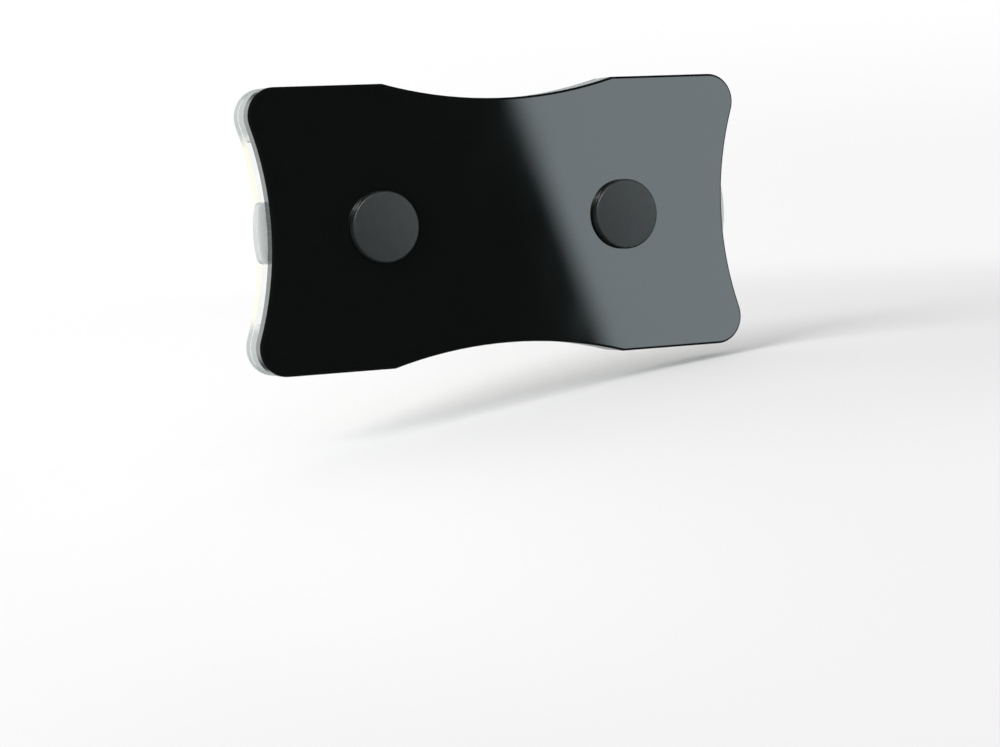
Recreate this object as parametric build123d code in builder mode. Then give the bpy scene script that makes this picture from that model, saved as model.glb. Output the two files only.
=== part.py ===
"""Life counter with two numbered dials, held between a black back plate and a clear front plate.

The counter stands upright: X runs along its width, Z up, and Y from the back towards the front.
The origin lies under the middle of the outline, on the surface that the counter stands on.
The tens dial is on the +X side and the units dial on the -X side, as a player reads them from the front.
"""
from build123d import *
from math import hypot, isclose
import os

os.makedirs("parts", exist_ok=True)

# Dials, millimetres
cog_count = 10
dial_radius = 23.6
notch_width = 2.8
notch_depth = 2.7
cog_corner_radius = 1.2
dial_back_gap = 0.2

# How the dials sit in the outline
cog_reach = 1.9
pocket_gap = 0.3
neck_width = 2.0
rim_width = 2.1

# Outline
side_waist_depth = 3.4
top_waist_depth = 3.25
kink_spacing = 47.4
corner_radius = 5.2
plate_edge_chamfer = 0.42
side_opening = 32.6
opening_lip_round = 1.0

# Layers, from the back to the front
back_plate_thickness = 2.4
spacer_thickness = 2.6
face_sheet_thickness = 0.3
front_plate_thickness = 2.4

# Face sheet
face_sheet_inset = 1.2
numeral_ring_radius = 16.3
window_width = 8.6
window_height = 10.4
window_corner_radius = 1.2

# Pivots: a hollow post from the front and a screw from the back
post_radius = 2.5
post_head_radius = 4.2
post_head_thickness = 0.8
post_head_chamfer = 0.3
post_end_gap = 0.1
post_hole_gap = 0.1
screw_radius = 1.5
screw_length = 5.0
screw_thread_gap = 0.03
screw_tip_gap = 0.5
screw_head_radius = 4.0
screw_head_thickness = 0.9
screw_head_chamfer = 0.2
screw_slot_width = 1.0
screw_slot_depth = 0.5

# Running fits of the dials
dial_bore_gap = 0.05
dial_axial_gap = 0.05
recess_gap = 0.3

# Washers and cone springs
washer_thickness = 0.25
washer_radius = 5.0
washer_bore_gap = 0.1
spring_thickness = 0.2
spring_cone_height = 0.15
spring_inset = 0.2
spring_bore_gap = 0.15

# Rear caps
cap_radius = 6.6
cap_height = 1.7
cap_edge_chamfer = 0.35
cap_cavity_gap = 0.5
cap_roof_gap = 0.15
tape_thickness = 0.1
tape_inset = 0.4

# One overrun serves all cuts
cut_overrun = 1.0

# Sizes that follow from the ones above
pocket_radius = dial_radius + pocket_gap
pivot_x = neck_width / 2 + pocket_radius
half_width = pivot_x + dial_radius - cog_reach + side_waist_depth
half_height = pocket_radius + rim_width
centre_height = half_height
kink_x = kink_spacing / 2
half_opening = side_opening / 2
post_hole_radius = post_radius + post_hole_gap
layers_thickness = back_plate_thickness + spacer_thickness + face_sheet_thickness + front_plate_thickness
cap_face_y = -(cap_height + layers_thickness + post_head_thickness) / 2
back_face_y = cap_face_y + cap_height
spacer_back_y = back_face_y + back_plate_thickness
sheet_back_y = spacer_back_y + spacer_thickness
front_plate_back_y = sheet_back_y + face_sheet_thickness
front_face_y = front_plate_back_y + front_plate_thickness
post_face_y = front_face_y + post_head_thickness
pivots = {"tens": pivot_x, "units": -pivot_x}

# Directions
across = (1, 0, 0)
to_front = (0, 1, 0)
to_back = (0, -1, 0)
upward = (0, 0, 1)


def layer_plane(front_y, x=0):
    """The front face of a layer, seen from the back: local X is X and local Y is up."""
    return Plane(origin=(x, front_y, centre_height), x_dir=across, z_dir=to_back)


def section_plane(x):
    """The level section through a pivot: local X is the radius and local Y runs to the front."""
    return Plane(origin=(x, 0, centre_height), x_dir=across, z_dir=upward)


def pivot_axis(x):
    return Axis((x, 0, centre_height), to_front)


# The waisted outline that all the layers share, drawn as one quarter and mirrored twice
corner_x = half_width - corner_radius
corner_y = half_height - corner_radius
# The hollow side arc touches the corner arc, so their centres are both radii apart.
centres_apart = (side_waist_depth**2 + corner_y**2) / (2 * side_waist_depth)
side_centre_x = half_width - side_waist_depth + centres_apart - corner_radius
lean_x = (side_centre_x - corner_x) / centres_apart
lean_y = -corner_y / centres_apart
corner_end = (corner_x + corner_radius * lean_x, corner_y + corner_radius * lean_y)
with BuildLine() as outline:
    TangentArc((0, half_height - top_waist_depth), (kink_x, half_height), tangent=(1, 0))
    Line((kink_x, half_height), (corner_x, half_height))
    TangentArc((corner_x, half_height), corner_end, tangent=(1, 0))
    TangentArc((half_width - side_waist_depth, 0), corner_end, tangent=(0, 1))
    mirror(about=Plane.XZ)
    mirror(about=Plane.YZ)


def from_pivot(edge, x):
    """How far an edge's middle lies from a pivot's axis."""
    middle = edge.center()
    return hypot(middle.X - x, middle.Z - centre_height)


def cut_post_holes(radius):
    with Locations((pivot_x, 0), (-pivot_x, 0)):
        Circle(radius, mode=Mode.SUBTRACT)


def draw_ring(inner_radius, outer_radius, back_y, thickness):
    """Half the section of a flat ring or a disc, on a section plane."""
    with Locations((inner_radius, back_y)):
        Rectangle(outer_radius - inner_radius, thickness, align=(Align.MIN, Align.MIN))


# Back plate: glossy black sheet, chamfered round its rear edge
with BuildPart() as back_plate:
    with BuildSketch(layer_plane(spacer_back_y)):
        make_face(outline.edges())
        cut_post_holes(post_hole_radius)
    extrude(amount=back_plate_thickness)
    chamfer(back_plate.faces().sort_by(Axis.Y)[0].outer_wire().edges(), plate_edge_chamfer)
back_plate.part.label = "back_plate"
export_step(back_plate.part, "parts/back_plate.step")


# Spacer: one I-shaped sheet whose two pockets hold the dials and open at the sides for the finger
with BuildPart() as spacer:
    with BuildSketch(layer_plane(sheet_back_y)) as spacer_face:
        make_face(outline.edges())
        cut_post_holes(pocket_radius)
        with Locations((pivot_x, 0)):
            opening_length = half_width - pivot_x + cut_overrun
            Rectangle(opening_length, side_opening, align=(Align.MIN, Align.CENTER), mode=Mode.SUBTRACT)
        with Locations((-pivot_x, 0)):
            Rectangle(opening_length, side_opening, align=(Align.MAX, Align.CENTER), mode=Mode.SUBTRACT)
        lips = spacer_face.vertices().filter_by(lambda v: isclose(abs(v.Y), half_opening))
        fillet(lips, opening_lip_round)
    extrude(amount=spacer_thickness)
spacer.part.label = "spacer"
export_step(spacer.part, "parts/spacer.step")


# Face sheet: thin printed sheet behind the front plate, with a window over each dial's numerals
with BuildPart() as face_sheet:
    with BuildSketch(layer_plane(front_plate_back_y)):
        make_face(outline.edges())
        offset(amount=-face_sheet_inset, kind=Kind.INTERSECTION)
        cut_post_holes(post_hole_radius)
        window_x = pivot_x - numeral_ring_radius
        with Locations((window_x, 0), (-window_x, 0)):
            RectangleRounded(window_width, window_height, window_corner_radius, mode=Mode.SUBTRACT)
    extrude(amount=face_sheet_thickness)
face_sheet.part.label = "face_sheet"
export_step(face_sheet.part, "parts/face_sheet.step")


# Front plate: clear sheet, chamfered round its front edge
with BuildPart() as front_plate:
    with BuildSketch(layer_plane(front_face_y)):
        make_face(outline.edges())
        cut_post_holes(post_hole_radius)
    extrude(amount=front_plate_thickness)
    chamfer(front_plate.faces().sort_by(Axis.Y)[-1].outer_wire().edges(), plate_edge_chamfer)
front_plate.part.label = "front_plate"
export_step(front_plate.part, "parts/front_plate.step")


# Seats along each pivot, from the back plate to the face sheet
rear_washer_y = spacer_back_y + spring_cone_height + spring_thickness
front_washer_y = sheet_back_y - washer_thickness
dial_back_y = spacer_back_y + dial_back_gap
dial_front_y = front_washer_y - dial_axial_gap
recess_depth = rear_washer_y + washer_thickness + dial_axial_gap - dial_back_y
recess_radius = washer_radius + recess_gap
notch_centre_radius = dial_radius - notch_depth + notch_width / 2
cog_pitch = 360 / cog_count

# Seats along each pivot, behind the back plate
post_back_y = back_face_y + post_end_gap
thread_radius = screw_radius + screw_thread_gap
thread_end_y = back_face_y + screw_length + screw_tip_gap
screw_face_y = back_face_y - screw_head_thickness
cap_seat_y = back_face_y - tape_thickness
cap_cavity_radius = screw_head_radius + cap_cavity_gap
cap_cavity_y = screw_face_y - cap_roof_gap

for name, x in pivots.items():

    # Dial: ten cogs with rounded corners, one of them always past the waist of the plates
    with BuildPart() as dial:
        with BuildSketch(layer_plane(dial_front_y, x)):
            Circle(dial_radius)
            with PolarLocations(notch_centre_radius, cog_count, start_angle=cog_pitch / 2):
                Circle(notch_width / 2, mode=Mode.SUBTRACT)
                Rectangle(notch_depth, notch_width, align=(Align.MIN, Align.CENTER), mode=Mode.SUBTRACT)
            Circle(post_radius + dial_bore_gap, mode=Mode.SUBTRACT)
        extrude(amount=dial_front_y - dial_back_y)
        tips = dial.edges().filter_by(Axis.Y).filter_by(lambda e: isclose(from_pivot(e, x), dial_radius))
        fillet(tips, cog_corner_radius)
        with BuildSketch(layer_plane(dial_back_y, x)):
            Circle(recess_radius)
        extrude(amount=-recess_depth, mode=Mode.SUBTRACT)
    dial.part.label = f"{name}_dial"
    export_step(dial.part, f"parts/{name}_dial.step")

    # Post: low round head on the front plate and a hollow barrel that the dial turns on
    with BuildPart() as post:
        with BuildSketch(section_plane(x)):
            with BuildLine():
                Polyline(
                    (0, post_face_y),
                    (post_head_radius, post_face_y),
                    (post_head_radius, front_face_y),
                    (post_radius, front_face_y),
                    (post_radius, post_back_y),
                    (thread_radius, post_back_y),
                    (thread_radius, thread_end_y),
                    (0, thread_end_y),
                    close=True,
                )
            make_face()
        revolve(axis=pivot_axis(x))
        chamfer(post.edges().sort_by(Axis.Y)[-1], post_head_chamfer)
    post.part.label = f"{name}_post"
    export_step(post.part, f"parts/{name}_post.step")

    # Screw: thin slotted head behind the back plate, its shank in the post
    with BuildPart() as screw:
        with BuildSketch(section_plane(x)):
            draw_ring(0, screw_head_radius, screw_face_y, screw_head_thickness)
            draw_ring(0, screw_radius, screw_face_y, screw_head_thickness + screw_length)
        revolve(axis=pivot_axis(x))
        chamfer(screw.edges().sort_by(Axis.Y)[0], screw_head_chamfer)
        with BuildSketch(layer_plane(screw_face_y, x)):
            Rectangle(2 * (screw_head_radius + cut_overrun), screw_slot_width)
        extrude(amount=-screw_slot_depth, mode=Mode.SUBTRACT)
    screw.part.label = f"{name}_screw"
    export_step(screw.part, f"parts/{name}_screw.step")

    # Cap: round cup over the screw head, with a softened rim
    with BuildPart() as cap:
        with BuildSketch(section_plane(x)):
            draw_ring(0, cap_radius, cap_face_y, cap_seat_y - cap_face_y)
        revolve(axis=pivot_axis(x))
        chamfer(cap.edges().sort_by(Axis.Y)[0], cap_edge_chamfer)
        with BuildSketch(layer_plane(cap_seat_y, x)):
            Circle(cap_cavity_radius)
        extrude(amount=cap_seat_y - cap_cavity_y, mode=Mode.SUBTRACT)
    cap.part.label = f"{name}_cap"
    export_step(cap.part, f"parts/{name}_cap.step")

    # Tape: ring of double-sided tape under the cap
    with BuildPart() as tape:
        with BuildSketch(section_plane(x)):
            draw_ring(cap_cavity_radius, cap_radius - tape_inset, cap_seat_y, tape_thickness)
        revolve(axis=pivot_axis(x))
    tape.part.label = f"{name}_tape"
    export_step(tape.part, f"parts/{name}_tape.step")

    # Washers: slippery plastic rings at each side of the dial's hub
    washer_bore_radius = post_radius + washer_bore_gap
    for place, back_y in (("rear", rear_washer_y), ("front", front_washer_y)):
        with BuildPart() as washer:
            with BuildSketch(section_plane(x)):
                draw_ring(washer_bore_radius, washer_radius, back_y, washer_thickness)
            revolve(axis=pivot_axis(x))
        washer.part.label = f"{name}_{place}_washer"
        export_step(washer.part, f"parts/{name}_{place}_washer.step")

    # Spring: cone of thin steel that presses on the hub, so a dial stays where it is turned to
    spring_bore_radius = post_radius + spring_bore_gap
    spring_radius = washer_radius - spring_inset
    with BuildPart() as spring:
        with BuildSketch(section_plane(x)):
            with BuildLine():
                Polyline(
                    (spring_radius, spacer_back_y),
                    (spring_radius, spacer_back_y + spring_thickness),
                    (spring_bore_radius, rear_washer_y),
                    (spring_bore_radius, rear_washer_y - spring_thickness),
                    close=True,
                )
            make_face()
        revolve(axis=pivot_axis(x))
    spring.part.label = f"{name}_spring"
    export_step(spring.part, f"parts/{name}_spring.step")

print("Outline", 2 * half_width, "by", 2 * half_height, "mm, depth", post_face_y - cap_face_y, "mm")
print("Pivots", 2 * pivot_x, "mm apart, cogs", cog_reach, "mm past the side waists")
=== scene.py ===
# %% [markdown]
# # A life counter with two numbered dials
#
# A life counter keeps a player's score: two cogged dials turn between a black back plate and a clear
# front plate, and each shows one digit in a window. The solids come from CAD, already in place and in
# metres, so this file loads them first and never moves them. Blender adds the finishes, the printed
# numerals and lines, rounder caps, the light and the camera.

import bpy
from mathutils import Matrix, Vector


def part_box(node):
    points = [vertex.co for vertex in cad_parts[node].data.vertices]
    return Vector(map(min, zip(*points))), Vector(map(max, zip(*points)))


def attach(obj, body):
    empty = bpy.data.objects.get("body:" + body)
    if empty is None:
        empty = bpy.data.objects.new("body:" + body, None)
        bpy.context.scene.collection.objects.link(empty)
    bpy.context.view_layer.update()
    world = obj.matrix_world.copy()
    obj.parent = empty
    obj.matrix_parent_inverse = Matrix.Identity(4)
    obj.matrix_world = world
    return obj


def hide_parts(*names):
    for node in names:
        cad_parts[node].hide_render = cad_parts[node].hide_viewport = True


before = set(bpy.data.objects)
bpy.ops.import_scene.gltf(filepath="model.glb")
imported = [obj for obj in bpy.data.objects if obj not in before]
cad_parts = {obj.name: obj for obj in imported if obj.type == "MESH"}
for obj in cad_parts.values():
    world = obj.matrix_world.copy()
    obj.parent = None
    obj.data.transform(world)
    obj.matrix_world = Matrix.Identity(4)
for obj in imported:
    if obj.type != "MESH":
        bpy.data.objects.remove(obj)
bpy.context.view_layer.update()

# %% [markdown]
# The sizes of the added pieces are given in millimetres and turned to metres, because that is how a
# maker reads them. Where a piece sits comes from the solids' own boxes, so it follows the CAD when the
# CAD changes.

# %% Tools and directions
from math import cos, exp, log1p, pi, radians, sin

import bmesh
import bpy
from mathutils import Matrix, Vector

MM = 0.001
same_place = 1e-7  # Points that lie closer than this, in metres, are one point.
sides = ("tens", "units")


def pivot_of(side):
    """The point on a dial's axis in the middle of the dial."""
    low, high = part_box(f"{side}_dial")
    return (low + high) / 2


for side in sides:
    pivot = pivot_of(side) / MM
    print(side, "dial turns about x", round(pivot.x, 2), "z", round(pivot.z, 2), "mm")

# %% [markdown]
# Materials and Geometry Nodes are both trees of nodes. One helper adds a node, sets its options, and
# fills its inputs: an input that is given another node's output is linked, and any other value is set
# on the input itself.

# %% A helper for node trees
def add_node(tree, kind, inputs=None, **options):
    """Adds a node. Keys of inputs are input names or numbers, and values are numbers or outputs to link."""
    node = tree.nodes.new(kind)
    for name, value in options.items():
        setattr(node, name, value)
    for key, value in (inputs or {}).items():
        if isinstance(value, bpy.types.NodeSocket):
            tree.links.new(value, node.inputs[key])
        else:
            node.inputs[key].default_value = value
    return node


def calculate(tree, operation, *values):
    """The result of a Math node."""
    return add_node(tree, "ShaderNodeMath", dict(enumerate(values)), operation=operation).outputs[0]


def combine(tree, operation, inputs):
    """The result of a Vector Math node, a vector or one number."""
    node = add_node(tree, "ShaderNodeVectorMath", inputs, operation=operation)
    return node.outputs["Value" if operation in ("DOT_PRODUCT", "LENGTH") else "Vector"]


# %% [markdown]
# Every finish starts the same way: a Principled shader, and a position on the piece in millimetres,
# from Object coordinates. A pattern on those stays on the piece when a dial turns. Noise of a size
# given in millimetres then makes grain, smudges and wear.

# %% A new finish, and where a point lies on its piece
def new_finish(name, colour, roughness, **settings):
    """A material, its tree and its Principled shader, with plain values set on the shader's inputs."""
    material = bpy.data.materials.new(name)
    material.use_nodes = True
    shader = material.node_tree.nodes["Principled BSDF"]
    shader.inputs["Base Color"].default_value = (*colour, 1)
    shader.inputs["Roughness"].default_value = roughness
    for key, value in settings.items():
        shader.inputs[key.replace("_", " ")].default_value = value
    return material, material.node_tree, shader


def place_in_mm(tree, stretch=(1, 1, 1)):
    """Where a point lies on its piece, in millimetres. A small stretch draws a pattern out that way."""
    place = add_node(tree, "ShaderNodeTexCoord").outputs["Object"]
    scale = Vector(stretch) / MM
    return add_node(tree, "ShaderNodeMapping", {"Vector": place, "Scale": scale}).outputs[0]


# %% Grain
def grain(tree, size_mm, detail=2.0, stretch=(1, 1, 1)):
    """Noise from 0 to 1 with blobs of about this size."""
    inputs = {"Vector": place_in_mm(tree, stretch), "Scale": 1 / size_mm, "Detail": detail}
    return add_node(tree, "ShaderNodeTexNoise", inputs).outputs["Fac"]


def spread(tree, value, low, high, start=0.3, end=0.7):
    """Turns a value between start and end into one between low and high."""
    inputs = {"Value": value, "From Min": start, "From Max": end, "To Min": low, "To Max": high}
    return add_node(tree, "ShaderNodeMapRange", inputs).outputs["Result"]


# %% Mixing and embossing
def mix_numbers(tree, amount, first, second):
    """A number between two, each a number or another node's output."""
    return add_node(tree, "ShaderNodeMix", {0: amount, 2: first, 3: second}).outputs[0]


def mix_colours(tree, amount, first, second):
    """A colour between two, each a colour or another node's output."""
    inputs = {0: amount, 6: first, 7: second}
    for key in (6, 7):
        if not isinstance(inputs[key], bpy.types.NodeSocket):
            inputs[key] = (*inputs[key], 1)
    return add_node(tree, "ShaderNodeMix", inputs, data_type="RGBA").outputs[2]


def emboss(tree, shader, height, depth_mm):
    """Raises and lowers the surface with a height from 0 to 1."""
    inputs = {"Height": height, "Strength": 1.0, "Distance": depth_mm * MM}
    bump = add_node(tree, "ShaderNodeBump", inputs)
    tree.links.new(bump.outputs["Normal"], shader.inputs["Normal"])


# %% [markdown]
# ## Sheet materials
#
# The back plate is cast acrylic, dyed black right through: nearly mirror smooth on its faces, with the
# faintest wipe marks. Its cut edge is still glossy, so it mirrors the bright room, and a cog where one
# stands beside it. Fine ribs that the cutter left across the edge roughen it a little, and are used only
# where the surface faces sideways.

# %% Helpers for the sheets' cut edges
def facing_front(tree):
    """1 where a surface faces the front, 0 where it faces sideways and -1 where it faces the back."""
    normal = add_node(tree, "ShaderNodeTexCoord").outputs["Normal"]
    return add_node(tree, "ShaderNodeSeparateXYZ", {0: normal}).outputs["Y"]


def edge_mask(tree):
    """1 on the cut edges of a sheet, and 0 on its two broad faces."""
    return calculate(tree, "LESS_THAN", calculate(tree, "ABSOLUTE", facing_front(tree)), 0.5)


def cutter_ribs(tree):
    """The fine ribs that a cutter leaves across a sheet's edge: noise drawn out along Y."""
    rib_width, drawn_out = 0.22, (1, 0.04, 1)
    return grain(tree, rib_width, 1.0, drawn_out)


# %% Black acrylic
black_dye = (0.0038, 0.0048, 0.0046)
shaded_edge_hollow, lit_edge_ridge = (0.045, 0.054, 0.054), (0.06, 0.07, 0.07)
wipe_size, rib_depth = 9.0, 0.004
black_acrylic, tree, shader = new_finish("black_acrylic", black_dye, 0.03, IOR=1.5)
wipe_marks = spread(tree, grain(tree, wipe_size, 4.0, (1, 1, 0.5)), 0.02, 0.05)
ribs, on_edge = cutter_ribs(tree), edge_mask(tree)
# The cut edge's tone follows its ribs, darker in their hollows and lighter on their ridges: painted shade
# and light on the ribs.
cut_tone_with_painted_shade = mix_colours(tree, spread(tree, ribs, 0, 1), shaded_edge_hollow, lit_edge_ridge)
tree.links.new(mix_colours(tree, on_edge, black_dye, cut_tone_with_painted_shade), shader.inputs["Base Color"])
roughness = mix_numbers(tree, on_edge, wipe_marks, spread(tree, ribs, 0.16, 0.24))
tree.links.new(roughness, shader.inputs["Roughness"])
emboss(tree, shader, calculate(tree, "MULTIPLY", ribs, on_edge), rib_depth)
print("Black acrylic has", len(tree.nodes), "nodes")

# %% [markdown]
# The spacer and the front plate are clear acrylic. It bends light, so the shader transmits it, and it
# has a trace of blue-green that only shows where light crosses a long way. A lamp's shadow ray can't
# bend through it, so for those rays the shader gives way to a Transparent one, and what lies behind
# the sheet stays lit. Its frosted edges blur what they let through, and most of the light that meets them
# scatters back, pale as frost on glass. Between the corners the frost in front of the card is painted
# cream: painted warm light, for the card that lies close behind the front plate's edge. At the corners
# it is painted grey: painted shade, for the dark plate that backs it.

# %% Clear acrylic
trace_of_blue, face_roughness = (0.975, 0.995, 0.99), 0.01
clear_acrylic, tree, shader = new_finish(
    "clear_acrylic", trace_of_blue, face_roughness, IOR=1.49, Transmission_Weight=1.0)
ribs, on_edge = cutter_ribs(tree), edge_mask(tree)
edge_roughness = calculate(tree, "MULTIPLY", on_edge, spread(tree, ribs, 0.32, 0.42))
tree.links.new(calculate(tree, "MAXIMUM", edge_roughness, face_roughness), shader.inputs["Roughness"])
emboss(tree, shader, calculate(tree, "MULTIPLY", ribs, on_edge), rib_depth)
print("The clear sheet has", len(tree.nodes), "nodes before its frost")

# %% Frost on the clear sheets' edges, with painted warm light and painted shade
pale_frost, painted_warm_frost, painted_shade_frost = (0.88, 0.9, 0.86), (0.84, 0.79, 0.63), (0.42, 0.46, 0.455)
opening_end, corner_start, frost_most = 15.0, 18.0, 0.85
x, y, z = add_node(tree, "ShaderNodeSeparateXYZ", {0: place_in_mm(tree)}).outputs
off_middle = calculate(tree, "ABSOLUTE", calculate(tree, "SUBTRACT", z, pivot_of("tens").z / MM))
# Grey at the corners is painted shade, and cream in front of the card is painted warm light.
corner_shade_share = spread(tree, off_middle, 0, 1, opening_end, corner_start)
behind_front_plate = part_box("front_plate")[0].y / MM - 0.1
in_front = calculate(tree, "GREATER_THAN", y, behind_front_plate)
frost_tone_with_painted_light = mix_colours(tree, corner_shade_share, mix_colours(tree, in_front, pale_frost, painted_warm_frost), painted_shade_frost)
frost = add_node(tree, "ShaderNodeBsdfDiffuse", {"Color": frost_tone_with_painted_light}).outputs[0]
frost_share = calculate(tree, "MULTIPLY", on_edge, frost_most)
frosted = {0: frost_share, 1: shader.outputs[0], 2: frost}
frosted = add_node(tree, "ShaderNodeMixShader", frosted).outputs[0]
print("Frost turns grey from", opening_end, "to", corner_start, "mm off the middle height")

# %% Shadow rays pass through the clear sheets
is_shadow = add_node(tree, "ShaderNodeLightPath").outputs["Is Shadow Ray"]
let_through = add_node(tree, "ShaderNodeBsdfTransparent", {0: (0.94, 0.97, 0.97, 1)}).outputs[0]
both = add_node(tree, "ShaderNodeMixShader", {0: is_shadow, 1: frosted, 2: let_through}).outputs[0]
tree.links.new(both, tree.nodes["Material Output"].inputs["Surface"])
print("Clear acrylic has", len(tree.nodes), "nodes")

# %% [markdown]
# The face sheet is white card, printed on its front in a warm and pale tone, with the soft mottle of ink
# on paper. Only the front has a normal that points along Y, so that is where the print goes. The foil
# of the stamped lines is metal, a little uneven in its gloss.

# %% Printed sheet and foil
bare_card, pale_ink, deep_ink = (0.88, 0.87, 0.83), (0.76, 0.69, 0.53), (0.70, 0.62, 0.46)
mottle_size, fibre_size, fibre_depth = 0.35, 0.12, 0.004
face_print, tree, shader = new_finish("face_print", (0.74, 0.66, 0.50), 0.55)
mottle = spread(tree, grain(tree, mottle_size, 6.0), 0, 1)
print_tone = mix_colours(tree, mottle, pale_ink, deep_ink)
is_front = calculate(tree, "GREATER_THAN", facing_front(tree), 0.5)
tree.links.new(mix_colours(tree, is_front, bare_card, print_tone), shader.inputs["Base Color"])
emboss(tree, shader, grain(tree, fibre_size, 3.0), fibre_depth)

gold_foil, tree, shader = new_finish("gold_foil", (0.78, 0.55, 0.22), 0.3, Metallic=1.0)
tree.links.new(spread(tree, grain(tree, 0.5, 4.0), 0.22, 0.38), shader.inputs["Roughness"])
print("Printed card and gold foil are ready")

# %% [markdown]
# ## Small parts' materials
#
# The dials are satin plastic, a light cool grey that lets a little light wander inside, and that a thumb
# polishes in places. Their cut rims are painted a darker grey than their faces: painted shade, so that
# the rims look no brighter than the faces. The numerals are screen printed in near black. The caps are
# deep black rubber: what makes them look grey is the soft sheen of the bright room, and their sides fall
# off to black.

# %% Dial plastic and ink
dial_face, shaded_dial_rim = (0.66, 0.695, 0.685), (0.42, 0.445, 0.44)
light_wanders, polish_size, satin_size, satin_depth = 1.2 * MM, 3.0, 0.15, 0.003
dial_plastic, tree, shader = new_finish(
    "dial_plastic", (0.70, 0.735, 0.73), 0.42, IOR=1.5, Subsurface_Weight=0.6)
shader.inputs["Subsurface Radius"].default_value = (1, 1, 1)
shader.inputs["Subsurface Scale"].default_value = light_wanders
tree.links.new(spread(tree, grain(tree, polish_size, 5.0), 0.36, 0.5), shader.inputs["Roughness"])
# The rims' darker grey is painted shade.
tree.links.new(mix_colours(tree, edge_mask(tree), dial_face, shaded_dial_rim), shader.inputs["Base Color"])
emboss(tree, shader, grain(tree, satin_size, 3.0), satin_depth)

numeral_ink, tree, shader = new_finish("numeral_ink", (0.012, 0.012, 0.014), 0.5)
emboss(tree, shader, grain(tree, 0.1, 3.0), satin_depth)
print("Dial plastic and ink are ready")

# %% Rubber
clean_rubber, scuffed_rubber = (0.010, 0.011, 0.011), (0.016, 0.0175, 0.0175)
scuff_size, sheen_size, pore_size, pore_depth = 1.6, 0.8, 0.09, 0.005
cap_rubber, tree, shader = new_finish("cap_rubber", (0.02, 0.022, 0.022), 0.42, Specular_IOR_Level=0.3)
scuffs = spread(tree, grain(tree, scuff_size, 6.0), 0, 1, 0.35, 0.75)
tree.links.new(mix_colours(tree, scuffs, clean_rubber, scuffed_rubber), shader.inputs["Base Color"])
tree.links.new(spread(tree, grain(tree, sheen_size, 4.0), 0.38, 0.46), shader.inputs["Roughness"])
emboss(tree, shader, grain(tree, pore_size, 4.0), pore_depth)
print("Cap rubber has", len(tree.nodes), "nodes")

# %% [markdown]
# Metal and the parts that only show when the counter is taken apart get plain, true finishes: brass
# posts with rings from the lathe, bright screws, white nylon washers, spring steel and grey foam tape.
# The lathe's rings run round each pivot. Both pivots lie at the same distance from the middle, so the
# absolute value of X folds the piece over and one material serves both.

# %% Brass
brass, tree, shader = new_finish("brass", (0.80, 0.60, 0.30), 0.25, Metallic=1.0)
rings_per_mm, ring_depth = 14.0, 0.004
x, y, z = add_node(tree, "ShaderNodeSeparateXYZ", {0: place_in_mm(tree)}).outputs
pivot = pivot_of("tens") / MM
across = calculate(tree, "SUBTRACT", calculate(tree, "ABSOLUTE", x), pivot.x)
above = calculate(tree, "SUBTRACT", z, pivot.z)
radius = add_node(tree, "ShaderNodeCombineXYZ", {0: across, 1: above}).outputs[0]
radius = combine(tree, "LENGTH", {0: radius})
rings = {"W": radius, "Scale": rings_per_mm, "Detail": 3.0}
rings = add_node(tree, "ShaderNodeTexNoise", rings, noise_dimensions="1D").outputs["Fac"]
tree.links.new(spread(tree, rings, 0.18, 0.34), shader.inputs["Roughness"])
emboss(tree, shader, rings, ring_depth)
print("Brass has", len(tree.nodes), "nodes")

# %% Steel, nylon and foam
steel, tree, shader = new_finish("steel", (0.56, 0.57, 0.58), 0.3, Metallic=1.0)
tree.links.new(spread(tree, grain(tree, 0.4, 4.0), 0.24, 0.4), shader.inputs["Roughness"])

nylon, tree, shader = new_finish("nylon", (0.78, 0.77, 0.73), 0.45, Subsurface_Weight=0.2)
emboss(tree, shader, grain(tree, 0.2, 3.0), 0.003)

foam, tree, shader = new_finish("foam", (0.16, 0.16, 0.165), 0.9)
emboss(tree, shader, grain(tree, 0.25, 5.0), 0.03)
print("Steel, nylon and foam are ready")

# %% Give each solid its finish
finish_of_slot = {
    "black_acrylic": black_acrylic, "clear_acrylic": clear_acrylic, "face_print": face_print,
    "dial_acrylic": dial_plastic, "post_metal": brass, "screw_steel": steel, "cap_rubber": cap_rubber,
    "tape_foam": foam, "washer_nylon": nylon, "spring_steel": steel,
}
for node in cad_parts.values():
    for slot in node.material_slots:
        slot.material = finish_of_slot[slot.material.name]
print("Finished", len(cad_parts), "solids in", len(finish_of_slot), "materials")

# %% [markdown]
# Stacked sheets are never glued face to face: a hair of air stays between them, and that is what makes
# a clear edge sparkle. A Displace modifier draws the clear sheets and the card in by a hundredth of a
# millimetre, so no two surfaces share a plane.

# %% Air between the sheets
air_gap = 0.01 * MM
for name in ("spacer", "front_plate", "face_sheet"):
    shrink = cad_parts[name].modifiers.new("air_gap", "DISPLACE")
    shrink.strength = -air_gap
    shrink.mid_level = 0
print("Drew the clear sheets and the card in by", air_gap / MM, "mm")

# %% [markdown]
# ## Caps
#
# The round caps on the back are turned shapes: one profile, spun round the pivot. The CAD cap has a
# plain chamfer, and this one has the real cap's soft rim, drawn as a quarter circle in the profile. It is
# also a little flatter, as the photograph's caps are, and still clears the screw head in its cavity.

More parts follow.
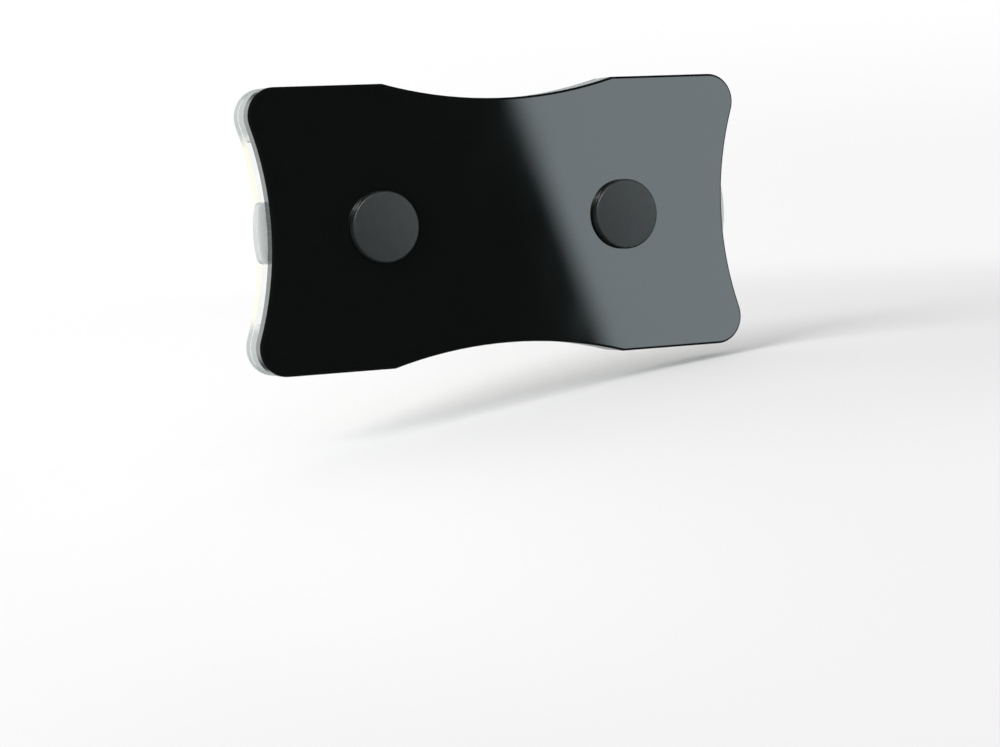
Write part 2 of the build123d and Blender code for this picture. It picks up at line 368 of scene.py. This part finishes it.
# %% A turned shape
def lathe(name, profile, centre, steps=96):
    """Spins a closed profile of (radius, y) points round the Y axis through the centre."""
    mesh = bmesh.new()
    corners = [mesh.verts.new((radius, y, 0)) for radius, y in profile]
    edges = [mesh.edges.new((a, b)) for a, b in zip(corners, corners[1:])]
    turn = {"axis": (0, 1, 0), "cent": (0, 0, 0), "steps": steps, "angle": 2 * pi, "use_merge": True}
    bmesh.ops.spin(mesh, geom=corners + edges, **turn)
    bmesh.ops.remove_doubles(mesh, verts=mesh.verts, dist=same_place)
    bmesh.ops.recalc_face_normals(mesh, faces=mesh.faces)
    bmesh.ops.translate(mesh, verts=mesh.verts, vec=(centre.x, 0, centre.z))
    data = bpy.data.meshes.new(name)
    mesh.to_mesh(data)
    mesh.free()
    piece = bpy.data.objects.new(name, data)
    bpy.context.collection.objects.link(piece)
    return piece


def smooth_by_angle(piece, degrees):
    """Shades a piece smooth, and keeps the edges that turn more than this sharp."""
    piece.data.shade_smooth()
    piece.data.set_sharp_from_angle(angle=radians(degrees))


# %% Both caps
rim_round, rim_steps = 0.35 * MM, 8
flatter = 0.35 * MM
cavity_radius = 4.5 * MM
roof = 0.3 * MM
quarter = [pi / 2 * step / rim_steps for step in range(rim_steps + 1)]
for side in sides:
    low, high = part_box(f"{side}_cap")
    radius, face = (high.x - low.x) / 2, low.y + flatter
    rim = [(radius - rim_round * (1 - sin(a)), face + rim_round * (1 - cos(a))) for a in quarter]
    inside = [(radius, high.y), (cavity_radius, high.y), (cavity_radius, face + roof), (0, face + roof)]
    cap = lathe(f"{side}_rubber_cap", [(0, face), *rim, *inside], pivot_of(side))
    smooth_by_angle(cap, degrees=40)
    cap.data.materials.append(cap_rubber)
    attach(cap, "root")
    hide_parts(f"{side}_cap")
    print(cap.name, len(cap.data.polygons), "faces")

# %% [markdown]
# ## Numerals
#
# Ten digits stand round each dial, one for each cog. They repeat by a rule, so Geometry Nodes make
# them: a Repeat zone counts from 0 to 9, turns each count into text, fills it, gives it the thickness
# of a print and swings it to its place. Only the digit behind the window can be seen from the front.
# Seen from there, the tens dial is on the left, with its window towards the middle. Two helpers come
# first, because the foil lines need them too.

# %% Inputs and outputs of a tree
def new_tree(name, inputs):
    """A Geometry Nodes tree with named inputs, {name: kind of socket}, and its first and last node."""
    tree = bpy.data.node_groups.new(name, "GeometryNodeTree")
    tree.is_modifier = True
    for way in ("INPUT", "OUTPUT"):
        tree.interface.new_socket("Geometry", in_out=way, socket_type="NodeSocketGeometry")
    for label, kind in inputs.items():
        tree.interface.new_socket(label, in_out="INPUT", socket_type=f"NodeSocket{kind}")
    return tree, tree.nodes.new("NodeGroupInput"), tree.nodes.new("NodeGroupOutput")


def make_plain_mesh(piece, tree, values):
    """Runs a tree on a piece with these inputs, keeps the result as its own mesh, and measures it."""
    modifier = piece.modifiers.new(tree.name, "NODES")
    modifier.node_group = tree
    for item in tree.interface.items_tree:
        if item.in_out == "INPUT" and item.name in values:
            modifier[item.identifier] = values[item.name]
    bpy.context.view_layer.update()
    graph = bpy.context.evaluated_depsgraph_get()
    result = bpy.data.meshes.new_from_object(piece.evaluated_get(graph), depsgraph=graph)
    piece.modifiers.remove(modifier)
    piece.data = result
    result.name = piece.name
    for axis in range(3):
        places = [vertex.co[axis] / MM for vertex in result.vertices]
        print(piece.name, "XYZ"[axis], "from", round(min(places), 2), "to", round(max(places), 2), "mm")


# %% The ring of digits
digit_inputs = {
    "Digits": "Int", "Digit Size": "Float", "Thickness": "Float", "Window": "Vector", "Shown": "Int",
    "Step": "Float", "Place": "Vector", "Ink": "Material",
}
tree, start, end = new_tree("digit_ring", digit_inputs)
given = start.outputs
loop_in = tree.nodes.new("GeometryNodeRepeatInput")
loop_out = tree.nodes.new("GeometryNodeRepeatOutput")
loop_in.pair_with_output(loop_out)
tree.links.new(given["Digits"], loop_in.inputs["Iterations"])
tree.links.new(given["Geometry"], loop_in.inputs["Geometry"])
digit = loop_in.outputs["Iteration"]
text = add_node(tree, "FunctionNodeValueToString", {0: digit}, data_type="INT").outputs[0]
print("Inputs of the digit ring:", ", ".join(digit_inputs))

# %% [markdown]
# Text comes as curves. Filling them gives a flat face, and extruding that leaves its underside open, so
# the flat face is kept too, turned over, and the two are merged into a closed print.

# %% One digit
lettering = {"String": text, "Size": given["Digit Size"]}
centred = {"align_x": "CENTER", "align_y": "MIDDLE"}
glyph = add_node(tree, "GeometryNodeStringToCurves", lettering, **centred).outputs[0]
glyph = add_node(tree, "GeometryNodeRealizeInstances", {0: glyph}).outputs[0]
flat = add_node(tree, "GeometryNodeFillCurve", {0: glyph}, mode="NGONS").outputs[0]
raising = {0: flat, "Offset Scale": given["Thickness"], "Individual": False}
raised = add_node(tree, "GeometryNodeExtrudeMesh", raising).outputs["Mesh"]
under = add_node(tree, "GeometryNodeFlipFaces", {0: flat}).outputs[0]
closed = add_node(tree, "GeometryNodeJoinGeometry", {0: raised})
tree.links.new(under, closed.inputs[0])
merging = {0: closed.outputs[0], "Distance": same_place}
closed = add_node(tree, "GeometryNodeMergeByDistance", merging).outputs[0]
print("One digit takes", len(tree.nodes), "nodes so far")

# %% Swing each digit round, then stand the ring up on its dial
at_window = add_node(tree, "GeometryNodeTransform", {0: closed, "Translation": given["Window"]}).outputs[0]
steps = calculate(tree, "SUBTRACT", digit, given["Shown"])
turn = calculate(tree, "MULTIPLY", steps, given["Step"])
turn = add_node(tree, "ShaderNodeCombineXYZ", {2: turn}).outputs[0]
swung = add_node(tree, "GeometryNodeTransform", {0: at_window, "Rotation": turn}).outputs[0]
ring = add_node(tree, "GeometryNodeJoinGeometry", {0: loop_in.outputs["Geometry"]})
tree.links.new(swung, ring.inputs[0])
tree.links.new(ring.outputs[0], loop_out.inputs["Geometry"])
upright = {0: loop_out.outputs["Geometry"], "Rotation": (pi / 2, 0, pi), "Translation": given["Place"]}
upright = add_node(tree, "GeometryNodeTransform", upright).outputs[0]
real = add_node(tree, "GeometryNodeRealizeInstances", {0: upright}).outputs[0]
inked = add_node(tree, "GeometryNodeSetMaterial", {0: real, "Material": given["Ink"]}).outputs[0]
tree.links.new(inked, end.inputs[0])
print("The digit ring has", len(tree.nodes), "nodes")

# %% Print both dials
ring_radius, digit_size, print_thickness = 16.3 * MM, 10 * MM, 0.05 * MM
digits = 10
shown = {"tens": 2, "units": 0}
for side in sides:
    towards_middle = 1 if side == "tens" else -1
    numerals = bpy.data.objects.new(f"{side}_numerals", bpy.data.meshes.new(f"{side}_numerals"))
    bpy.context.collection.objects.link(numerals)
    centre = pivot_of(side)
    values = {
        "Digits": digits, "Digit Size": digit_size, "Thickness": print_thickness, "Shown": shown[side],
        "Window": (towards_middle * ring_radius, 0, 0), "Step": -towards_middle * 2 * pi / digits,
        "Place": (centre.x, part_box(f"{side}_dial")[1].y, centre.z), "Ink": numeral_ink,
    }
    make_plain_mesh(numerals, tree, values)
    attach(numerals, f"{side}_dial")

# %% [markdown]
# ## Foil lines
#
# A thin gold line is stamped on the face sheet beside its border and round each window. It follows the
# edges of the sheet, so Geometry Nodes take it from them: keep the front face, turn the loops that bound
# it into curves, move each curve sideways, and sweep a flat section along it.

# %% The lines' tree
line_inputs = {
    "Border Inset": "Float", "Window Margin": "Float", "Line Width": "Float", "Thickness": "Float",
    "Foil": "Material",
}
tree, start, end = new_tree("foil_lines", line_inputs)
given = start.outputs
normal = add_node(tree, "GeometryNodeInputNormal").outputs["True Normal"]
facing = add_node(tree, "ShaderNodeSeparateXYZ", {0: normal}).outputs["Y"]
turned_away = calculate(tree, "LESS_THAN", facing, 0.9)
front = {0: given["Geometry"], 1: turned_away}
front = add_node(tree, "GeometryNodeDeleteGeometry", front, domain="FACE").outputs[0]
faces_beside = add_node(tree, "GeometryNodeInputMeshEdgeNeighbors").outputs[0]
one_face, tolerance = 1.0, 0.1
rim = calculate(tree, "COMPARE", faces_beside, one_face, tolerance)
loops = add_node(tree, "GeometryNodeMeshToCurve", {0: front, 1: rim}).outputs[0]
print("Inputs of the foil lines:", ", ".join(line_inputs))

# %% Leave out the post holes
longest_hole, shortest_border = 20 * MM, 150 * MM
loop_length = add_node(tree, "GeometryNodeSplineLength").outputs["Length"]
post_hole = calculate(tree, "LESS_THAN", loop_length, longest_hole)
is_border = calculate(tree, "GREATER_THAN", loop_length, shortest_border)
loops = add_node(tree, "GeometryNodeDeleteGeometry", {0: loops, 1: post_hole}, domain="CURVE").outputs[0]
print("Loops under", longest_hole / MM, "mm are post holes, and over", shortest_border / MM, "the border")

# %% [markdown]
# A loop may run either way round. The cross product of its direction and Y points to one side, and a
# comparison with the loop's middle says whether that side is the outer one.

# %% Which side of a loop is the outer one
place = add_node(tree, "GeometryNodeInputPosition").outputs[0]
over_the_loop = {"domain": "CURVE", "data_type": "FLOAT_VECTOR"}
middle = add_node(tree, "GeometryNodeFieldOnDomain", {0: place}, **over_the_loop).outputs[0]
along = add_node(tree, "GeometryNodeInputTangent").outputs[0]
from_middle = combine(tree, "SUBTRACT", {0: place, 1: middle})
sideways = combine(tree, "CROSS_PRODUCT", {0: along, 1: (0, 1, 0)})
outer = combine(tree, "DOT_PRODUCT", {0: sideways, 1: from_middle})
print("The tree can tell in from out with", len(tree.nodes), "nodes")

# %% Move the loops sideways and sweep them
inset = calculate(tree, "MULTIPLY", given["Border Inset"], -1.0)
reach = {0: is_border, 1: given["Window Margin"], 2: inset}
reach = add_node(tree, "GeometryNodeSwitch", reach, input_type="FLOAT").outputs[0]
reach = calculate(tree, "MULTIPLY", reach, calculate(tree, "SIGN", outer))
half_in = calculate(tree, "MULTIPLY", given["Thickness"], -0.5)
sink = add_node(tree, "ShaderNodeCombineXYZ", {1: half_in}).outputs[0]
shift = combine(tree, "ADD", {0: combine(tree, "SCALE", {0: sideways, "Scale": reach}), 1: sink})
lines = add_node(tree, "GeometryNodeSetPosition", {0: loops, "Offset": shift}).outputs[0]
level = {0: lines, "Normal": (0, 1, 0)}
lines = add_node(tree, "GeometryNodeSetCurveNormal", level, mode="FREE").outputs[0]
section = {"Width": given["Thickness"], "Height": given["Line Width"]}
section = add_node(tree, "GeometryNodeCurvePrimitiveQuadrilateral", section).outputs[0]
swept = add_node(tree, "GeometryNodeCurveToMesh", {0: lines, 1: section}).outputs[0]
real = add_node(tree, "GeometryNodeRealizeInstances", {0: swept}).outputs[0]
gilded = add_node(tree, "GeometryNodeSetMaterial", {0: real, "Material": given["Foil"]}).outputs[0]
tree.links.new(gilded, end.inputs[0])
print("The foil lines' tree has", len(tree.nodes), "nodes")

# %% [markdown]
# The tree runs on a copy of the sheet's mesh, because a CAD solid itself is never changed. The copy's
# doubled corners are merged first, so that its faces share their edges and only real rims count as rims.

# %% Stamp the lines
sheet = bmesh.new()
sheet.from_mesh(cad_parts["face_sheet"].data)
bmesh.ops.remove_doubles(sheet, verts=sheet.verts, dist=same_place)
data = bpy.data.meshes.new("foil_lines")
sheet.to_mesh(data)
sheet.free()
data.materials.clear()
foil_lines = bpy.data.objects.new("foil_lines", data)
bpy.context.collection.objects.link(foil_lines)
values = {
    "Border Inset": 1.0 * MM, "Window Margin": 0.6 * MM, "Line Width": 0.5 * MM, "Thickness": 0.03 * MM,
    "Foil": gold_foil,
}
make_plain_mesh(foil_lines, tree, values)
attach(foil_lines, "root")

# %% [markdown]
# ## Light
#
# The photograph was taken in a white room with a dark side behind the camera. Glossy black mirrors
# what faces it, so the room's two sides matter more than its lamps: the left of the back plate mirrors
# the dark side, and its right mirrors a softbox. The world is white to the eye, but for a painted shade
# low down behind the counter on the right, and for mirror rays it is bright only beyond the counter on
# the left, where the frosted edges pick it up.

# %% Where the camera stands
camera_place, camera_heading = Vector((-0.22976, -0.47238, 0.03325)), radians(26.017)
camera_foot = Vector((camera_place.x, camera_place.y, 0))
print("The camera stands", round(camera_foot.length / MM), "mm from the counter's middle")

# %% Helpers for the room's tones
def ease(tree, value, start, end, low, high):
    """Goes smoothly from low to high while the value goes from start to end."""
    inputs = {"Value": value, "From Min": start, "From Max": end, "To Min": low, "To Max": high}
    return add_node(tree, "ShaderNodeMapRange", inputs, interpolation_type="SMOOTHSTEP").outputs["Result"]


def from_the_camera(tree, place):
    """How far a place lies to the right of the camera's foot, and how far ahead of it."""
    inputs = {"Vector": place, "Angle": camera_heading}
    turned = add_node(tree, "ShaderNodeVectorRotate", inputs, rotation_type="Z_AXIS").outputs[0]
    return add_node(tree, "ShaderNodeSeparateXYZ", {0: turned}).outputs[:2]


def backdrop_with_painted_shade(tree, to_right, ahead):
    """White, with a painted shade that darkens the part of the room behind the counter on the right."""
    shade, nearest = 0.07, 0.1
    fan = calculate(tree, "DIVIDE", to_right, calculate(tree, "MAXIMUM", ahead, nearest))
    rise, fall = ease(tree, fan, -0.1, 0.13, 0, shade), ease(tree, fan, 0.3, 0.8, 1, 0)
    darker = calculate(tree, "MULTIPLY", rise, fall)
    darker = calculate(tree, "MULTIPLY", darker, ease(tree, ahead, 0.3, 0.6, 0, 1))
    return calculate(tree, "SUBTRACT", 1.0, darker)


def seen_directly(tree):
    """1 for what the camera sees, also through a clear sheet, and 0 for all other rays."""
    ray = add_node(tree, "ShaderNodeLightPath").outputs
    return calculate(tree, "MAXIMUM", ray["Is Camera Ray"], ray["Is Transmission Ray"])


# %% The room
world = bpy.data.worlds.new("room")
bpy.context.scene.world = world
world.use_nodes = True
tree = world.node_tree
looking = add_node(tree, "ShaderNodeTexCoord").outputs["Generated"]
bright_side, dark_side, fill = (-0.36, 0.93, 0.05), 0.03, 0.6
towards = combine(tree, "DOT_PRODUCT", {0: looking, 1: bright_side})
mirrored = ease(tree, towards, 0.1, 0.95, dark_side, 1.0)
up = add_node(tree, "ShaderNodeSeparateXYZ", {0: looking}).outputs["Z"]
# Low down, the backdrop darkens behind the counter on the right: painted shade.
low_backdrop_with_painted_shade = backdrop_with_painted_shade(tree, *from_the_camera(tree, looking))
backdrop = mix_numbers(tree, ease(tree, up, 0.0, 0.06, 0, 1), low_backdrop_with_painted_shade, 1.0)
mirror_ray = add_node(tree, "ShaderNodeLightPath").outputs["Is Glossy Ray"]
strength = mix_numbers(tree, mirror_ray, fill, mirrored)
strength = mix_numbers(tree, seen_directly(tree), strength, backdrop)
tree.links.new(strength, tree.nodes["Background"].inputs["Strength"])
tree.nodes["Background"].inputs["Color"].default_value = (1, 1, 1, 1)
print("The room fills with", fill, "and mirrors from", dark_side, "to 1")

# %% [markdown]
# The softbox in the plate has a soft slanting edge. It is a card behind the camera on the right that
# glows, and fades over its left edge. Its place follows from the mirror: a line from the camera to the
# plate and back shows which point of the room each point of the plate mirrors.

# %% Helpers for cards that glow
def new_glow(name, colour=(1, 1, 1)):
    """A material that only glows, its tree, and the input that sets how strongly."""
    material = bpy.data.materials.new(name)
    material.use_nodes = True
    tree = material.node_tree
    tree.nodes.remove(tree.nodes["Principled BSDF"])
    glow = add_node(tree, "ShaderNodeEmission", {"Color": (*colour, 1)})
    tree.links.new(glow.outputs[0], tree.nodes["Material Output"].inputs["Surface"])
    return material, tree, glow.inputs["Strength"]


def stage_plane(name, width, height, material, place, turn):
    """A plane of this size that belongs to the stage, not to the counter."""
    bpy.ops.mesh.primitive_plane_add(size=1, location=place, rotation=turn)
    plane = bpy.context.object
    plane.name = name
    plane.data.transform(Matrix.Diagonal((width, height, 1, 1)))
    plane.data.materials.append(material)
    return plane


# %% The softbox card
card_width, card_height, feather, card_strength = 1.6, 1.3, 0.025, 4.2
card_glow, tree, strength = new_glow("card_glow", (0.86, 1.0, 1.05))
across_card = add_node(tree, "ShaderNodeTexCoord").outputs["Object"]
across_card = add_node(tree, "ShaderNodeSeparateXYZ", {0: across_card}).outputs["X"]
left_edge = -card_width / 2
tree.links.new(ease(tree, across_card, left_edge, left_edge + feather, 0, card_strength), strength)
slant = radians(19.3)
edge_middle = Vector((0.6288, -1.2034, 0.0046))
card_place = edge_middle + Vector((cos(slant), 0, sin(slant))) * (card_width - feather) / 2
card = stage_plane("softbox_card", card_width, card_height, card_glow, card_place, (pi / 2, -slant, 0))
card.visible_camera = card.visible_diffuse = card.visible_transmission = card.visible_shadow = False
print("Softbox card at", card_place)

# %% [markdown]
# A large, rather low lamp on the left throws the long soft shadow to the right. A small one gives the
# caps' rims their glint, and lights nothing else.

# %% The lamps
aim = Vector((0, 0, 26 * MM))


def area_lamp(name, place, size, watts):
    """A square lamp at this place that shines on the counter's middle."""
    light = bpy.data.lights.new(name, "AREA")
    light.shape, light.size, light.energy = "SQUARE", size, watts
    lamp = bpy.data.objects.new(name, light)
    bpy.context.collection.objects.link(lamp)
    lamp.location = place
    lamp.rotation_euler = (aim - lamp.location).to_track_quat("-Z", "Y").to_euler()
    lamp.visible_camera = False
    return lamp


key_lamp = area_lamp("key_lamp", (-3.2, -0.8, 1.7), 2.0, 108)
key_lamp.visible_glossy = False
glint_lamp = area_lamp("glint_lamp", (-0.33, -1.0, 0.58), 0.12, 22)
glint_lamp.visible_diffuse = glint_lamp.visible_transmission = False
print("Lamps of", key_lamp.data.energy, "and", glint_lamp.data.energy, "watts")

# %% [markdown]
# A large round card beyond the counter on the left lights its front and gleams along its left edge. It
# fades towards its rim, so no hard shape shows where a clear sheet mirrors it.

# %% The front card
front_size, front_strength = 1.6, 1.7
front_glow, tree, strength = new_glow("front_glow")
from_centre = add_node(tree, "ShaderNodeTexCoord").outputs["Object"]
from_centre = combine(tree, "LENGTH", {0: from_centre})
tree.links.new(ease(tree, from_centre, front_size / 2, front_size / 6, 0, front_strength), strength)
front_place = Vector((-0.54, 1.05, 0.15))
front_turn = front_place.to_track_quat("Z", "Y").to_euler()
front_card = stage_plane("front_card", front_size, front_size, front_glow, front_place, front_turn)
front_card.visible_camera = front_card.visible_transmission = front_card.visible_shadow = False
print("Front card at", front_place)

# %% [markdown]
# ## Floor
#
# The floor is matt paper, nearly white on the left, with a painted shade that darkens it on the right and
# just in front of the camera. Far off it fades into the white room, whichever way one looks. On the left
# it also glows a little for the camera, a painted light that makes it brighter there. Mirror rays pass it
# by, because the photograph's plate mirrors no floor.

# %% Paper
left_tone, right_painted_shade, near_painted_shade = 0.985, 0.88, 0.96
floor_paper, tree, shader = new_finish("floor_paper", (0.93, 0.93, 0.93), 0.9, Specular_IOR_Level=0.0)
place = add_node(tree, "ShaderNodeTexCoord").outputs["Object"]
away = combine(tree, "LENGTH", {0: place})
place = combine(tree, "SUBTRACT", {0: place, 1: camera_foot})
to_right, ahead = from_the_camera(tree, place)
# The paper darkens to the right and just in front of the camera: painted shade.
tone = ease(tree, to_right, -0.085, 0.06, left_tone, right_painted_shade)
tone = calculate(tree, "MULTIPLY", tone, ease(tree, ahead, 0.15, 0.42, near_painted_shade, 1.0))
tree.links.new(tone, shader.inputs["Base Color"])
print("Paper of tone", left_tone, "on the left and", right_painted_shade, "on the right")

# %% The far floor fades into the room, and the left glows with painted light
left_painted_light, right_painted_light = 0.6, 0.1
all_round = ease(tree, away, 0.6, 1.6, 0, 1)
far = calculate(tree, "MAXIMUM", ease(tree, ahead, 0.5, 1.1, 0, 1), all_round)
far_tone = mix_numbers(tree, far, tone, backdrop_with_painted_shade(tree, to_right, ahead))
amount = calculate(tree, "MAXIMUM", ease(tree, ahead, 0.55, 0.95, 0, 1), all_round)
# Left of the camera more of the paper glows for the camera: painted light.
amount = calculate(tree, "MAXIMUM", amount, ease(tree, to_right, -0.07, -0.02, left_painted_light, right_painted_light))
amount = calculate(tree, "MULTIPLY", amount, seen_directly(tree))
white = add_node(tree, "ShaderNodeEmission", {"Color": far_tone, "Strength": 1.0}).outputs[0]
both = add_node(tree, "ShaderNodeMixShader", {0: amount, 1: shader.outputs[0], 2: white}).outputs[0]
tree.links.new(both, tree.nodes["Material Output"].inputs["Surface"])
print("The paper has", len(tree.nodes), "nodes")

# %% [markdown]
# The photograph's counter hangs just above its floor, tilted, with its left end well clear, as its
# slanting shadow shows. The solids stay upright, so the paper slopes instead: gently under the counter,
# and level farther off.

# %% The paper's height
low_side, slope_right, slope_back, bend = -25.3 * MM, 0.15, 0.04, 15 * MM
sloping_x, sloping_y = (-100 * MM, 60 * MM), (-40 * MM, 40 * MM)


def ramp(place, start, end):
    """Climbs evenly between two places, and is level outside them, with soft bends."""
    return bend * (log1p(exp((place - start) / bend)) - log1p(exp((place - end) / bend)))


def floor_height(x, y):
    """The paper's height: a gentle slope under the counter, and level all round it."""
    return low_side + slope_right * ramp(x, *sloping_x) + slope_back * ramp(y, *sloping_y)


low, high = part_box("back_plate")
for x in (low.x, high.x):
    print("Under x", round(x / MM, 1), "the floor lies at z", round(floor_height(x, 0) / MM, 2), "mm")

# %% Floor
floor_reach, fine_lines, fine_step = 4.0, 81, bend / 2
grid = [fine_step * (line - fine_lines // 2) for line in range(fine_lines)]
grid = [-floor_reach, *grid, floor_reach]
points = [(x, y, floor_height(x, y)) for x in grid for y in grid]
lines = len(grid)
corners = [row * lines + column for row in range(lines - 1) for column in range(lines - 1)]
squares = [(n, n + lines, n + lines + 1, n + 1) for n in corners]
data = bpy.data.meshes.new("floor")
data.from_pydata(points, [], squares)
data.materials.append(floor_paper)
data.shade_smooth()
floor = bpy.data.objects.new("floor", data)
bpy.context.collection.objects.link(floor)
floor.visible_glossy = False
print("The floor has", len(data.polygons), "faces")

# %% [markdown]
# ## Camera
#
# The camera's place, turn and lens come from matching the outline's corners in the photograph.

# %% Camera
lens = bpy.data.cameras.new("camera")
lens.lens, lens.sensor_width, lens.clip_start = 100.9, 36, 0.01
camera = bpy.data.objects.new("camera", lens)
bpy.context.collection.objects.link(camera)
camera.location = camera_place
camera.rotation_euler = (radians(86.081), radians(2.736), -camera_heading)
bpy.context.scene.camera = camera
bpy.context.scene.view_settings.view_transform = "Standard"
print("Camera with a lens of", round(lens.lens, 1), "mm")
